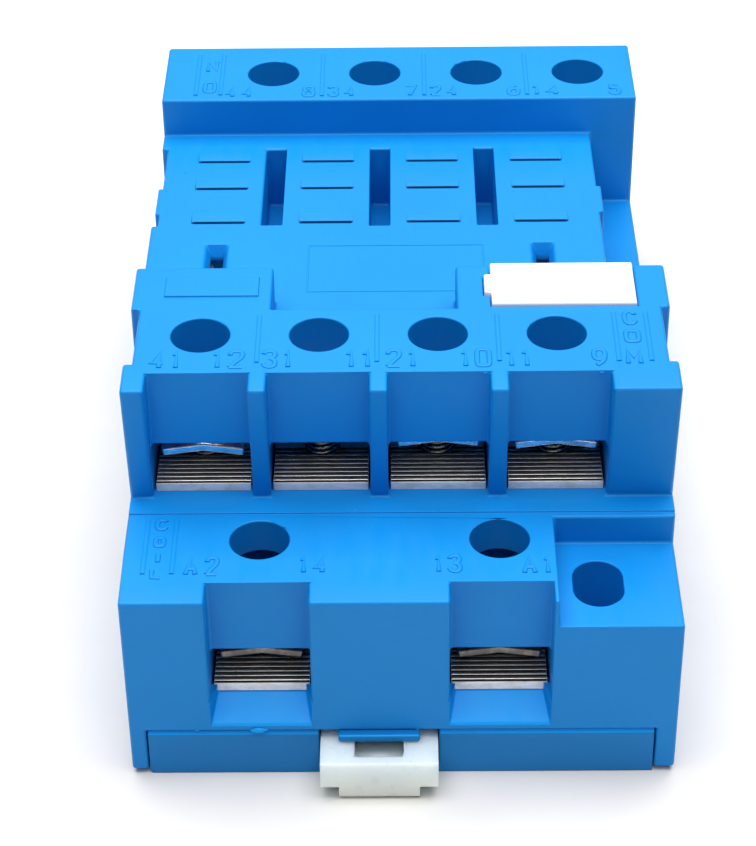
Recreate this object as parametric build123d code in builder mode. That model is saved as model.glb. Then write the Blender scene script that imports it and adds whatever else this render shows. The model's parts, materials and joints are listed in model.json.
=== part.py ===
from build123d import *
import os
from math import tan, radians

# Relay socket with two decks of screw terminals at each end and a rail clip.
# X runs across the terminals, Y away from the coil end, Z up from the panel.
# The origin is on the panel plane, under the middle of the whole length.

# Overall body
body_width = 46.1
seat_height = 27.7
deck_rise = 3.9
plate_height = 4.8
foot_gap = 0.4
left_skirt = 1.4
right_skirt = 1.75

# Lengths along Y, from the coil end to the far end
deck_depth = 11.9
pad_depth = 6.6
seat_length = 29.8
far_wall_to_hole = 5.35
hole_setback = 5.5
recess_depth = 2.5

# Terminal columns across X
column_pitch = 10.0
column_shift = -1.85
far_row_shift = 4.5
cell_width = 8.5
wall = 1.2

# Levels of the decks, counted from the seat downwards
strip_drop = 8.5
lip_drop = 8.8
ledge_drop = 7.8
shelf_drop = 11.5
far_lip_drop = 1.5
tube_depth = 3.9
lower_tube_depth = 3.4

# Decks
mouth_angle = 33
mouth_flare = 0.55
front_lean = 1.6
lip_fall = 0.15
strip_step = 0.15
foot_strip = 2.1
side_inset = 0.75
shoulder_length = 3.9

# Screwdriver holes and screws
driver_hole_radius = 2.5
screw_radius = 1.5
screw_pitch = 0.5
screw_length = 8.0
head_radius = 2.6
head_height = 2.0
drive_slot = 0.8
drive_depth = 1.0
running_gap = 0.05

# Contacts
sheet = 0.8
leaf_sheet = 0.5
plate_fit = 0.2
upper_plate_drop = 7.7
lower_plate_drop = 19.8
ridge_pitch = 0.57
ridge_depth = 0.22
ridge_count = 9
collar_height = 1.2
collar_width = 4.4
leaf_height = 5.6
leaf_spread = 0.9
leaf_pinch = 0.32
receptacle_width = 4.8
strip_width = 2.2

# Wire clamps
clamp_width = 7.0
clamp_thickness = 0.8
clamp_rise = 0.5
clamp_gap = 0.2
opening_above_plate = 4.2
lower_opening_above_plate = 3.8

# Seat slots for the relay blades
slot_width = 5.06
slot_thickness = 0.75
slot_mouth = 2.23
slot_lead = 1.3
slot_rows = (0.0, 6.1, 11.08)
first_row = 13.4
coil_slot_offset = 14.9
coil_slot_start = 4.8
coil_slot_length = 5.1
coil_slot_thickness = 1.2
coil_mouth = 2.05
coil_lead = 1.0
barrier_width = 1.95
barrier_length = 14.0
barrier_depth = 6.42
barrier_start = 13.1
chamber_wide = 5.9
chamber_deep = 3.0
seat_skin = 1.6
channel_drop = 7.2

# Pads, side ledge and tabs
left_pad_width = 12.0
right_pad_width = 18.2
ledge_width = 4.4
left_inset = 0.6
inset_start = 13.2
inset_length = 14.0
tab_start = 15.2
tab_length = 4.6
tab_reach = 0.4

# Panel screw shelves
near_shelf_width = 10.3
far_shelf_width = 6.3
panel_slot_width = 4.2
panel_slot_length = 5.8
near_slot_from_side = 6.75
far_slot_from_side = 3.1
panel_slot_setback = 5.5

# Base plate and rail
plate_gap = 0.1
plate_bevel = 0.4
rail_width = 35.0
rail_thickness = 1.0
channel_depth = 3.6
rail_lip = 1.2
rail_play = 1.0
rail_offset = 0.6
lip_thickness = 2.3
plenum_height = 5.4
post_width = 1.0
post_offset = 3.0
post_length = 2.2
tip_pocket_width = 4.2
tip_pocket_depth = 3.4

# Rail clip
clip_shift = -2.0
clip_width = 9.9
clip_reach = 3.25
clip_floor = 1.2
clip_thickness = 2.7
clip_tab_width = 6.8
clip_tab_drop = 1.1
clip_gap = 0.1
clip_travel = 3.0
hook_overlap = 1.2
hook_length = 3.0
tongue_width = 6.9
tongue_thickness = 0.7
tongue_reach = 0.7
window_width = 4.1
window_edge = 1.25
window_length = 6.0
finger_width = 1.2
finger_length = 9.0
finger_slit = 0.8
bump_radius = 0.6
bump_reach = 0.35

# Marker tag and label pad
tag_width = 12.4
tag_depth = 6.4
tag_thickness = 1.0
tag_recess = 0.7
tag_side_gap = 2.8
tag_ear_reach = 0.6
tag_ear_length = 2.8
label_width = 8.1
label_depth = 3.0
label_rise = 0.2

# Places along Y
body_length = (4 * deck_depth + pad_depth + seat_length + far_wall_to_hole + hole_setback
               + recess_depth - deck_depth)
near_end = -(body_length + clip_reach) / 2 + clip_reach
near_upper_front = near_end + deck_depth
pad_near = near_upper_front + deck_depth
pad_far = pad_near + pad_depth
far_wall = pad_far + seat_length
far_hole = far_wall + far_wall_to_hole
far_upper_recess = far_hole + hole_setback
far_upper_front = far_upper_recess + recess_depth
far_end = far_upper_front + deck_depth
near_upper_recess = near_upper_front + recess_depth
near_hole = near_upper_recess + hole_setback
near_lower_recess = near_end + recess_depth
near_lower_hole = near_lower_recess + hole_setback
far_lower_recess = far_end - recess_depth
far_lower_hole = far_lower_recess - hole_setback
near_strip = near_upper_front + front_lean - foot_strip
far_strip = far_upper_front - front_lean + foot_strip
rail_far_wall = (near_end + far_end) / 2 + rail_width / 2 + rail_offset
rail_near_wall = rail_far_wall - rail_width - rail_play

# Places along Z
deck_top = seat_height + deck_rise
strip_top = seat_height - strip_drop
lip_top = seat_height - lip_drop
low_deck_top = strip_top - strip_step
ledge_top = seat_height - ledge_drop
shelf_top = seat_height - shelf_drop
upper_plate_top = seat_height - upper_plate_drop
lower_plate_top = seat_height - lower_plate_drop
channel_top = seat_height - channel_drop
plenum_top = plate_height + plenum_height

# Places along X
left = -body_width / 2
right = body_width / 2
columns = [column_shift + (i - 1.5) * column_pitch for i in range(4)]
far_columns = [x + far_row_shift for x in columns]
coil_columns = [column_shift - column_pitch, column_shift + column_pitch]
coil_slots = [column_shift - coil_slot_offset, column_shift + coil_slot_offset]

os.makedirs("parts", exist_ok=True)


def finish(part, name):
    """Label a finished piece and write it."""
    part.label = name
    export_step(part, "parts/" + name + ".step")


def row_block(centres, width, y_low, y_high, z_low, z_high, mode=Mode.SUBTRACT):
    """Cut or add one rectangular block at each X centre of a row."""
    middle = (y_low + y_high) / 2
    with BuildSketch(Plane.XY.offset(z_low)) as blocks:
        with Locations(*[(x, middle) for x in centres]):
            Rectangle(width, y_high - y_low)
    extrude(blocks.sketch, amount=z_high - z_low, mode=mode)


def side_block(points, centres, width, mode=Mode.SUBTRACT):
    """Cut or add one outline, given as Y and Z points, across each X centre of a row."""
    for x in centres:
        with BuildSketch(Plane.YZ.offset(x)) as outline:
            with BuildLine():
                Polyline(*points, close=True)
            make_face()
        extrude(outline.sketch, amount=width / 2, both=True, mode=mode)


def row_holes(centres, radius, y, z_low, z_high):
    """Cut one upright round hole at each X centre of a row."""
    with BuildSketch(Plane.XY.offset(z_low)) as holes:
        with Locations(*[(x, y) for x in centres]):
            Circle(radius)
    extrude(holes.sketch, amount=z_high - z_low, mode=Mode.SUBTRACT)


# Housing: the moulded blue body
# The side outline carries both decks at each end, the pads and the relay seat.
near_outline = [
    (near_end, plate_height),
    (near_end, lip_top),
    (near_lower_recess, low_deck_top),
    (near_strip, low_deck_top),
    (near_strip, strip_top),
    (near_upper_front + front_lean, strip_top),
    (near_upper_front, deck_top - lip_fall),
    (near_upper_recess, deck_top),
    (pad_far, deck_top),
    (pad_far, seat_height),
]
far_outline = [
    (far_wall, seat_height),
    (far_wall, deck_top),
    (far_upper_recess, deck_top),
    (far_upper_recess, deck_top - far_lip_drop),
    (far_upper_front, deck_top - far_lip_drop),
    (far_upper_front - front_lean, strip_top),
    (far_strip, strip_top),
    (far_strip, low_deck_top),
    (far_lower_recess, low_deck_top),
    (far_end, lip_top),
    (far_end, plate_height),
]
far_upper_wall = far_upper_recess - wall
near_cell_back = pad_near - wall
cell_roof = deck_top - tube_depth
lower_roof = strip_top - lower_tube_depth
lower_cell_back = near_upper_recess - wall
far_lower_cell_back = far_upper_recess + wall
lower_plate_bottom = lower_plate_top - sheet
upper_plate_bottom = upper_plate_top - sheet

with BuildPart() as housing:
    with BuildSketch(Plane.YZ.offset(left)):
        with BuildLine():
            Polyline(*near_outline, *far_outline, close=True)
        make_face()
    extrude(amount=body_width)

    # Side skirts that reach down over the edges of the base plate
    row_block([left + left_skirt / 2], left_skirt, near_end, far_end, foot_gap,
              plate_height, Mode.ADD)
    row_block([right - right_skirt / 2], right_skirt, near_end, far_end, foot_gap,
              plate_height, Mode.ADD)
    row_block([0], body_width + 2, rail_near_wall - plate_gap, rail_far_wall + plate_gap,
              foot_gap - 1, channel_depth + plate_gap)

    # Space between the two pads, and the narrower body of the near upper deck
    pad_gap = body_width - left_pad_width - right_pad_width
    row_block([left + left_pad_width + pad_gap / 2], pad_gap, pad_near, pad_far,
              seat_height, deck_top + 1)
    row_block([left, right], 2 * side_inset, near_upper_front + shoulder_length, pad_near,
              strip_top, deck_top + 1)

    # Ledge beside the seat, with the small tabs that hold the relay sideways
    row_block([right - ledge_width / 2], ledge_width, pad_far, far_wall, ledge_top,
              seat_height + 1)
    row_block([left], 2 * left_inset, pad_far + inset_start, pad_far + inset_start
              + inset_length, shelf_top - strip_drop, seat_height + 1)
    row_block([left + left_inset - tab_reach / 2, right - ledge_width + tab_reach / 2],
              tab_reach, pad_far + tab_start, pad_far + tab_start + tab_length,
              ledge_top, seat_height, Mode.ADD)

    # Raised bare label field on the left pad, and the sunk bed of the marker tag
    label_x = left + label_width / 2 + side_inset + 2
    label_y = pad_near + pad_depth / 2
    row_block([label_x], label_width, label_y - label_depth / 2, label_y + label_depth / 2,
              deck_top, deck_top + label_rise, Mode.ADD)
    tag_x = right - tag_side_gap - tag_width / 2
    tag_y = pad_near + 2 * plate_gap + tag_depth / 2
    row_block([tag_x], tag_width + 2 * plate_gap, tag_y - tag_depth / 2 - plate_gap,
              tag_y + tag_depth / 2 + 1, deck_top - tag_recess, deck_top + 1)
    tag_ear_x = tag_x - tag_width / 2
    row_block([tag_ear_x], 2 * (tag_ear_reach + plate_gap), tag_y - tag_ear_length / 2
              - plate_gap, tag_y + tag_ear_length / 2 + plate_gap, deck_top - tag_recess,
              deck_top + 1)

    # Wire recesses in the four terminal rows
    row_block(columns, cell_width, near_upper_front - 1, near_upper_recess, strip_top,
              deck_top + 1)
    row_block(far_columns, cell_width, far_upper_recess, far_upper_front + 1, strip_top,
              deck_top + 1)
    row_block(coil_columns, cell_width, near_end - 1, near_lower_recess, lower_plate_top,
              lip_top + 1)
    row_block(far_columns, cell_width, far_lower_recess, far_end + 1, lower_plate_top,
              lip_top + 1)

    # Flared mouths that lead a wire up on to the low plates
    mouth_drop = recess_depth * tan(radians(mouth_angle))
    for centres, recess_y, end_y in ((coil_columns, near_lower_recess, near_end),
                                     (far_columns, far_lower_recess, far_end)):
        for x in centres:
            with BuildSketch(Plane.XZ.offset(-recess_y)) as throat:
                with Locations((x, lower_plate_top)):
                    Rectangle(cell_width - 2 * mouth_flare, sheet, align=(Align.CENTER, Align.MAX))
            with BuildSketch(Plane.XZ.offset(-end_y)) as mouth:
                with Locations((x, lower_plate_top)):
                    Rectangle(cell_width, sheet + mouth_drop, align=(Align.CENTER, Align.MAX))
            loft([throat.sketch, mouth.sketch], mode=Mode.SUBTRACT)

    # Shelves for the two panel screws, at opposite corners
    row_block([right - near_shelf_width / 2], near_shelf_width, near_end,
              near_upper_front - wall + 0.1, shelf_top, strip_top + 1)
    row_block([left + far_shelf_width / 2], far_shelf_width, far_upper_front + wall - 0.1,
              far_end, shelf_top, strip_top + 1)

    # Terminal cells behind the recesses, open below to the inside
    row_block(columns, cell_width, near_upper_recess + wall, near_cell_back, plate_height,
              cell_roof)
    row_block(far_columns, cell_width, far_wall + wall - 0.1, far_upper_wall, plate_height,
              cell_roof)
    row_block(coil_columns, cell_width, near_lower_recess + wall, lower_cell_back,
              plate_height, lower_roof)
    row_block(far_columns, cell_width, far_lower_cell_back, far_lower_recess - wall,
              plate_height, lower_roof)

    # Wire openings through the recess walls
    upper_opening_top = upper_plate_top + opening_above_plate
    lower_opening_top = lower_plate_top + lower_opening_above_plate
    row_block(columns, cell_width, near_upper_recess - 0.01, near_upper_recess + wall,
              upper_plate_bottom, upper_opening_top)
    row_block(far_columns, cell_width, far_upper_wall, far_upper_recess + 0.01,
              upper_plate_bottom, upper_opening_top)
    row_block(coil_columns, cell_width, near_lower_recess - 0.01, near_lower_recess + wall,
              lower_plate_bottom, lower_opening_top)
    row_block(far_columns, cell_width, far_lower_recess - wall, far_lower_recess + 0.01,
              lower_plate_bottom, lower_opening_top)

    # Screwdriver holes
    row_holes(columns, driver_hole_radius, near_hole, cell_roof - 1, deck_top + 1)
    row_holes(far_columns, driver_hole_radius, far_hole, cell_roof - 1, deck_top + 1)
    row_holes(coil_columns, driver_hole_radius, near_lower_hole, lower_roof - 1, strip_top + 1)
    row_holes(far_columns, driver_hole_radius, far_lower_hole, lower_roof - 1, strip_top + 1)

    # Contact channels under the seat, one per column, and the low space that joins them
    row_block(columns, cell_width, near_upper_recess + wall, far_wall - 0.4, plate_height,
              channel_top)
    inside_width = body_width - left_skirt - right_skirt
    row_block([left + left_skirt + inside_width / 2], inside_width,
              near_upper_recess + wall, far_upper_wall, plate_height, plenum_top)

    # Ways for the contact strips through the cross walls
    far_way = strip_width + 1.0
    row_block([x + strip_width / 2 + 0.4 for x in columns], far_way, far_wall - 0.5,
              far_wall + wall, plate_height, channel_top)
    row_block(far_columns, far_way, far_upper_wall - 0.1, far_lower_cell_back + 0.1,
              plate_height, plenum_top)
    coil_way = cell_width / 2 - strip_width / 2 - 0.1
    row_block([coil_columns[0] - coil_way, coil_columns[1] + coil_way], strip_width + 0.8,
              lower_cell_back - 0.1, near_upper_recess + wall + 0.1, plate_height, plenum_top)

    # Blade slots: a narrow slot with a sloped lead on its far side, over a chamber
    row_y = [pad_far + first_row + y for y in slot_rows]
    for y in row_y:
        side_block([(y, seat_height + 1), (y, channel_top - 0.1),
                    (y + slot_thickness, channel_top - 0.1),
                    (y + slot_thickness, seat_height - slot_lead),
                    (y + slot_mouth, seat_height), (y + slot_mouth, seat_height + 1)],
                   columns, slot_width)
        chamber_y = y + slot_thickness / 2
        row_block(columns, chamber_wide, chamber_y - chamber_deep / 2,
                  chamber_y + chamber_deep / 2, channel_top - 0.1, seat_height - seat_skin)

    # Coil slots run the other way, with a lead on every side
    coil_y = pad_far + coil_slot_start + coil_slot_length / 2
    for x in coil_slots:
        with BuildSketch(Plane.XY.offset(seat_height)) as mouth:
            with Locations((x, coil_y)):
                Rectangle(coil_mouth, coil_slot_length)
        with BuildSketch(Plane.XY.offset(seat_height - coil_lead)) as throat:
            with Locations((x, coil_y)):
                Rectangle(coil_slot_thickness, coil_slot_length - coil_lead)
        loft([mouth.sketch, throat.sketch], mode=Mode.SUBTRACT)
        row_block([x], coil_slot_thickness, coil_y - (coil_slot_length - coil_lead) / 2,
                  coil_y + (coil_slot_length - coil_lead) / 2, seat_height - seat_skin - 0.1,
                  seat_height - coil_lead + 0.01)
        row_block([x], chamber_deep, coil_y - chamber_wide / 2, coil_y + chamber_wide / 2,
                  channel_top - 0.1, seat_height - seat_skin)

    # Barrier slots between the columns
    barrier_y = pad_far + barrier_start
    row_block([(a + b) / 2 for a, b in zip(columns, columns[1:])], barrier_width, barrier_y,
              barrier_y + barrier_length, seat_height - barrier_depth, seat_height + 1)

    # Panel screw slots
    near_slot = (right - near_slot_from_side, near_end + panel_slot_setback)
    far_slot = (left + far_slot_from_side, far_end - panel_slot_setback)
    with BuildSketch(Plane.XY.offset(plate_height - 1)):
        with Locations(near_slot, far_slot):
            SlotOverall(panel_slot_length, panel_slot_width, rotation=90)
    extrude(amount=seat_height, mode=Mode.SUBTRACT)

finish(housing.part, "housing")

# Base plate: closes the underside and takes the rail
clip_slot_width = clip_width + 2 * clip_gap
tongue_root = near_end + window_edge + window_length + clip_travel
hook_room = rail_near_wall - clip_travel - hook_length

with BuildPart() as base_plate:
    with BuildSketch(Plane.YZ.offset(left + left_skirt + plate_gap)):
        with BuildLine():
            Polyline((near_end, 0), (near_end, plate_height - plate_bevel),
                     (near_end + plate_bevel, plate_height), (far_end, plate_height),
                     (far_end, 0), (rail_far_wall - rail_lip, 0),
                     (rail_far_wall - rail_lip, lip_thickness - 0.6),
                     (rail_far_wall - rail_lip + 0.4, lip_thickness),
                     (rail_far_wall, lip_thickness), (rail_far_wall, channel_depth),
                     (rail_near_wall, channel_depth), (rail_near_wall, 0), close=True)
        make_face()
    extrude(amount=inside_width - 2 * plate_gap)

    # Slot of the rail clip, with a tongue left over its middle
    row_block([clip_shift], clip_slot_width, near_end - 1, rail_near_wall + 0.01, clip_floor,
              plate_height - tongue_thickness)
    row_block([clip_shift], clip_slot_width, near_end - 1, tongue_root,
              plate_height - tongue_thickness - 0.01, plate_height)
    row_block([clip_shift], tongue_width, near_end - tongue_reach, tongue_root + 0.01,
              plate_height - tongue_thickness, plate_height, Mode.ADD)
    row_block([clip_shift], clip_slot_width, hook_room, rail_near_wall + 0.01, -0.01,
              clip_floor + 0.01)

    # Pockets where the clip's spring fingers snap
    bump_y = near_end + finger_length + 8.0
    pocket_x = clip_slot_width / 2 + bump_reach / 2
    row_block([clip_shift - pocket_x, clip_shift + pocket_x], bump_reach,
              bump_y - bump_radius - 0.1 - clip_travel, bump_y + bump_radius + 0.1,
              clip_floor, plate_height - tongue_thickness)

    # Posts that carry the terminal plates
    for centres, hole_y, plate_bottom in (
            (columns, near_hole, upper_plate_bottom),
            (far_columns, far_hole, upper_plate_bottom),
            (coil_columns, near_lower_hole, lower_plate_bottom),
            (far_columns, far_lower_hole, lower_plate_bottom)):
        for side in (-post_offset, post_offset):
            row_block([x + side for x in centres], post_width, hole_y - post_length / 2,
                      hole_y + post_length / 2, plate_height, plate_bottom, Mode.ADD)

    # Blind pockets for the tips of the low screws
    for centres, hole_y in ((coil_columns, near_lower_hole), (far_columns, far_lower_hole)):
        row_block(centres, tip_pocket_width, hole_y - tip_pocket_width / 2,
                  hole_y + tip_pocket_width / 2, plate_height - tip_pocket_depth, plate_height)

    with BuildSketch(Plane.XY.offset(-1)):
        with Locations(near_slot, far_slot):
            SlotOverall(panel_slot_length, panel_slot_width, rotation=90)
    extrude(amount=plate_height + 2, mode=Mode.SUBTRACT)

finish(base_plate.part, "base_plate")

# Rail clip: a flat slider with a hook, a screwdriver window and two spring fingers
clip_bottom = clip_floor + 0.05
clip_top = clip_bottom + clip_thickness
clip_front = near_end - clip_reach
hook_y = rail_near_wall + rail_play + hook_overlap
flange_bottom = channel_depth - rail_thickness
clip_end = rail_near_wall - 0.2

with BuildPart() as rail_clip:
    with BuildSketch(Plane.YZ.offset(clip_shift)):
        with BuildLine():
            Polyline((clip_front, clip_bottom), (clip_front, clip_top), (clip_end, clip_top),
                     (clip_end, flange_bottom - 0.15), (hook_y, flange_bottom - 0.15),
                     (hook_y, flange_bottom - 0.6), (clip_end + 0.6, clip_bottom - 0.9),
                     (hook_room + clip_travel + 0.3, clip_bottom - 0.9),
                     (hook_room + clip_travel + 0.3, clip_bottom), close=True)
        make_face()
    extrude(amount=clip_width / 2, both=True)
    row_block([clip_shift], clip_tab_width, clip_front, clip_front + 1.1,
              clip_bottom - clip_tab_drop, clip_bottom, Mode.ADD)
    row_block([clip_shift], window_width, clip_front + window_edge,
              clip_front + window_edge + window_length, clip_bottom - 1, clip_top + 1)

    # Slits that free one finger on each side, and the bump on each finger
    slit_x = clip_width / 2 - finger_width - finger_slit / 2
    row_block([clip_shift - slit_x, clip_shift + slit_x], finger_slit,
              bump_y - finger_length + 1.5, bump_y + 1.5, clip_bottom - 1, clip_top + 1)
    with BuildSketch(Plane.XY.offset(clip_bottom)):
        for side in (-1, 1):
            with Locations((clip_shift + side * (clip_width / 2 + bump_reach - bump_radius),
                            bump_y)):
                Circle(bump_radius)
    extrude(amount=clip_thickness)
    front_edges = rail_clip.edges().filter_by(Axis.X).group_by(Axis.Y)[0]
    fillet(front_edges, radius=0.3)

finish(rail_clip.part, "rail_clip")

# Marker tag: a plain snap-in plate with a small ear on one side
with BuildPart() as marker_tag:
    with BuildSketch(Plane.XY.offset(deck_top - tag_recess)):
        with Locations((tag_x, tag_y)):
            Rectangle(tag_width, tag_depth)
        with Locations((tag_ear_x, tag_y)):
            Rectangle(2 * tag_ear_reach, tag_ear_length)
    extrude(amount=tag_thickness)
    chamfer(marker_tag.faces().sort_by(Axis.Z)[-1].edges(), length=0.15)

finish(marker_tag.part, "marker_tag")


# Contacts: each is one folded sheet with a blade receptacle and a tapped terminal plate
def receptacle(x, y, base_z, along_x):
    """Add two sprung leaves on a web, pinched where the blade enters."""
    side = Plane.YZ.offset(x) if along_x else Plane.XZ.offset(-y)
    across = y if along_x else x
    for sign in (-1, 1):
        with BuildSketch(side) as leaf:
            with BuildLine() as path:
                Polyline((across + sign * leaf_spread, base_z - leaf_sheet / 2),
                         (across + sign * leaf_spread, base_z + leaf_height * 0.35),
                         (across + sign * leaf_pinch, base_z + leaf_height * 0.8),
                         (across + sign * leaf_spread * 0.85, base_z + leaf_height))
            trace(path.line, line_width=leaf_sheet)
        extrude(leaf.sketch, amount=receptacle_width / 2, both=True)
    web = 2 * leaf_spread + leaf_sheet
    size = (receptacle_width, web) if along_x else (web, receptacle_width)
    with BuildSketch(Plane.XY.offset(base_z - sheet)) as base:
        with Locations((x, y)):
            Rectangle(*size)
    extrude(base.sketch, amount=sheet)


def terminal_plate(x, hole_y, recess_y, plate_top):
    """Add the ridged plate with its tapped collar, from the recess wall inwards."""
    inward = 1 if hole_y > recess_y else -1
    front = recess_y + inward * 0.05
    back = hole_y + inward * 2.7
    row_block([x], cell_width - 2 * plate_fit, min(front, back), max(front, back),
              plate_top - sheet, plate_top, Mode.ADD)
    screw_collar(x, hole_y, plate_top)
    for i in range(ridge_count):
        y = front + inward * (0.5 + i) * ridge_pitch
        side_block([(y - ridge_pitch * 0.3, plate_top + 0.01), (y, plate_top - ridge_depth),
                    (y + ridge_pitch * 0.3, plate_top + 0.01)], [x], cell_width)


def screw_collar(x, hole_y, plate_top):
    """Add the square nut under a terminal plate and cut the screw hole through both."""
    row_block([x], collar_width, hole_y - collar_width / 2, hole_y + collar_width / 2,
              plate_top - sheet - collar_height, plate_top - sheet, Mode.ADD)
    row_holes([x], screw_radius + running_gap, hole_y, plate_top - sheet - collar_height - 1,
              plate_top + 1)


def flat_strip(points, z_top):
    """Add a level strip cut from the sheet, given its outline seen from above."""
    with BuildSketch(Plane.XY.offset(z_top - sheet)) as blank:
        with BuildLine():
            Polyline(*points, close=True)
        make_face()
    extrude(blank.sketch, amount=sheet)


row_common, row_open, row_closed = row_y
blade = slot_thickness / 2
web_half = leaf_spread + leaf_sheet / 2
step_z = upper_plate_top - 2.4

for i, x in enumerate(columns):
    # The common contact runs level from its receptacle to the near upper deck
    with BuildPart() as common_contact:
        centre_y = row_common + blade
        receptacle(x, centre_y, upper_plate_top, True)
        strip_x = x - cell_width / 2 + 0.15
        flat_strip([(strip_x, near_hole + 2), (strip_x + strip_width, near_hole + 2),
                    (strip_x + strip_width, centre_y - web_half),
                    (x, centre_y - web_half), (x, centre_y + web_half),
                    (strip_x, centre_y + web_half)], upper_plate_top)
        terminal_plate(x, near_hole, near_upper_recess, upper_plate_top)
    finish(common_contact.part, "common_contact_%d" % (i + 1))

    # The open contact dips under the next receptacle, then rises to the far upper deck
    with BuildPart() as open_contact:
        centre_y = row_open + blade
        strip_x = x + 0.3 + strip_width / 2
        receptacle(x, centre_y, upper_plate_top, True)
        path_y = [centre_y, centre_y + web_half + 0.6, centre_y + web_half + 1.4,
                  far_wall - 2.6, far_wall - 1.0, far_hole - 2.5]
        path_z = [upper_plate_top, upper_plate_top, step_z, step_z, upper_plate_top,
                  upper_plate_top]
        with BuildSketch(Plane.YZ.offset(strip_x)) as dip:
            with BuildLine() as path:
                Polyline(*[(a, b - sheet / 2) for a, b in zip(path_y, path_z)])
            trace(path.line, line_width=sheet)
        extrude(dip.sketch, amount=strip_width / 2, both=True)
        terminal_plate(far_columns[i], far_hole, far_upper_recess, upper_plate_top)
    finish(open_contact.part, "open_contact_%d" % (i + 1))

    # The closed contact drops beside that strip, steps sideways and runs low to its deck
    with BuildPart() as closed_contact:
        centre_y = row_closed + blade
        leg_x = x - 0.4 - strip_width / 2
        receptacle(x, centre_y, upper_plate_top, True)
        leg_y = centre_y - web_half + sheet / 2
        row_block([leg_x], strip_width, leg_y - sheet / 2, leg_y + sheet / 2,
                  lower_plate_bottom, upper_plate_top, Mode.ADD)
        run_x = far_columns[i]
        half = strip_width / 2
        turn = leg_y + 1.2
        flat_strip([(leg_x - half, leg_y - sheet / 2), (leg_x + half, leg_y - sheet / 2),
                    (leg_x + half, turn), (run_x + half, turn),
                    (run_x + half, far_lower_hole - 2.0), (run_x - half, far_lower_hole - 2.0),
                    (run_x - half, turn + strip_width), (leg_x - half, turn + strip_width)],
                   lower_plate_top)
        terminal_plate(far_columns[i], far_lower_hole, far_lower_recess, lower_plate_top)
    finish(closed_contact.part, "closed_contact_%d" % (i + 1))

for i, (slot_x, x) in enumerate(zip(coil_slots, coil_columns)):
    # The coil contact drops from its sideways receptacle and runs low to the coil deck
    outward = -1 if i == 0 else 1
    with BuildPart() as coil_contact:
        receptacle(slot_x, coil_y, upper_plate_top, False)
        leg_y = coil_y - receptacle_width / 2 + sheet / 2
        row_block([slot_x], strip_width, leg_y - sheet / 2, leg_y + sheet / 2,
                  lower_plate_bottom, upper_plate_top, Mode.ADD)
        run_x = x + outward * coil_way
        half = strip_width / 2
        turn_start = near_upper_recess + wall + 3.5
        turn_end = near_upper_recess + wall + 0.3
        flat_strip([(slot_x - half, leg_y + sheet / 2), (slot_x - half, turn_start),
                    (run_x - half, turn_end), (run_x - half, near_lower_hole + 2.0),
                    (run_x + half, near_lower_hole + 2.0), (run_x + half, turn_end),
                    (slot_x + half, turn_start), (slot_x + half, leg_y + sheet / 2)],
                   lower_plate_top)
        terminal_plate(x, near_lower_hole, near_lower_recess, lower_plate_top)
    finish(coil_contact.part, "coil_contact_%d" % (i + 1))


# Screws and wire clamps, left open by the amount that the wire gap gives
def wire_clamp(x, hole_y, recess_y, plate_top, wire_gap, name):
    """Make one roof-shaped clamp plate over a terminal plate."""
    foot = plate_top + wire_gap
    half = clamp_width / 2
    inward = 1 if hole_y > recess_y else -1
    front = recess_y + inward * (wall + clamp_gap)
    back = hole_y + inward * head_radius
    with BuildPart() as clamp:
        with BuildSketch(Plane.XZ.offset(-(front + back) / 2)) as roof_line:
            with BuildLine() as path:
                Polyline((x - half, foot + clamp_thickness / 2),
                         (x, foot + clamp_rise + clamp_thickness / 2),
                         (x + half, foot + clamp_thickness / 2))
            trace(path.line, line_width=clamp_thickness)
        extrude(roof_line.sketch, amount=abs(back - front) / 2, both=True)
        hole = screw_radius + running_gap
        row_block([x], 2 * hole, hole_y - hole, hole_y + hole, foot - 1, foot + 4)
    finish(clamp.part, name)


def terminal_screw(x, hole_y, plate_top, wire_gap, name):
    """Make one captive screw, its head seated on the clamp."""
    seat = plate_top + wire_gap + clamp_rise + clamp_thickness + running_gap
    with BuildPart() as screw:
        with BuildSketch(Plane.XY.offset(seat)):
            with Locations((x, hole_y)):
                Circle(head_radius)
        extrude(amount=head_height)
        with BuildSketch(Plane.XY.offset(seat)):
            with Locations((x, hole_y)):
                Circle(screw_radius)
        extrude(amount=-screw_length)
        with BuildSketch(Plane.XY.offset(seat + head_height)):
            with Locations((x, hole_y)):
                Rectangle(2 * head_radius, drive_slot)
        extrude(amount=-drive_depth, mode=Mode.SUBTRACT)
    finish(screw.part, name)


near_gaps = (1.9, 3.5, 2.7, 2.4)
coil_gaps = (1.6, 1.5)
far_gaps = (3.0, 2.6, 3.2, 2.8)
decks = (
    ("common", columns, near_hole, near_upper_recess, upper_plate_top, near_gaps),
    ("open", far_columns, far_hole, far_upper_recess, upper_plate_top, far_gaps),
    ("closed", far_columns, far_lower_hole, far_lower_recess, lower_plate_top, far_gaps),
    ("coil", coil_columns, near_lower_hole, near_lower_recess, lower_plate_top, coil_gaps),
)

for kind, centres, hole_y, recess_y, plate_top, wire_gaps in decks:
    for i, (x, wire_gap) in enumerate(zip(centres, wire_gaps)):
        wire_clamp(x, hole_y, recess_y, plate_top, wire_gap, "%s_clamp_%d" % (kind, i + 1))
        terminal_screw(x, hole_y, plate_top, wire_gap, "%s_screw_%d" % (kind, i + 1))
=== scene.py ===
import json
import math

import bmesh
import bpy
from mathutils import Matrix, Vector, noise


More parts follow.
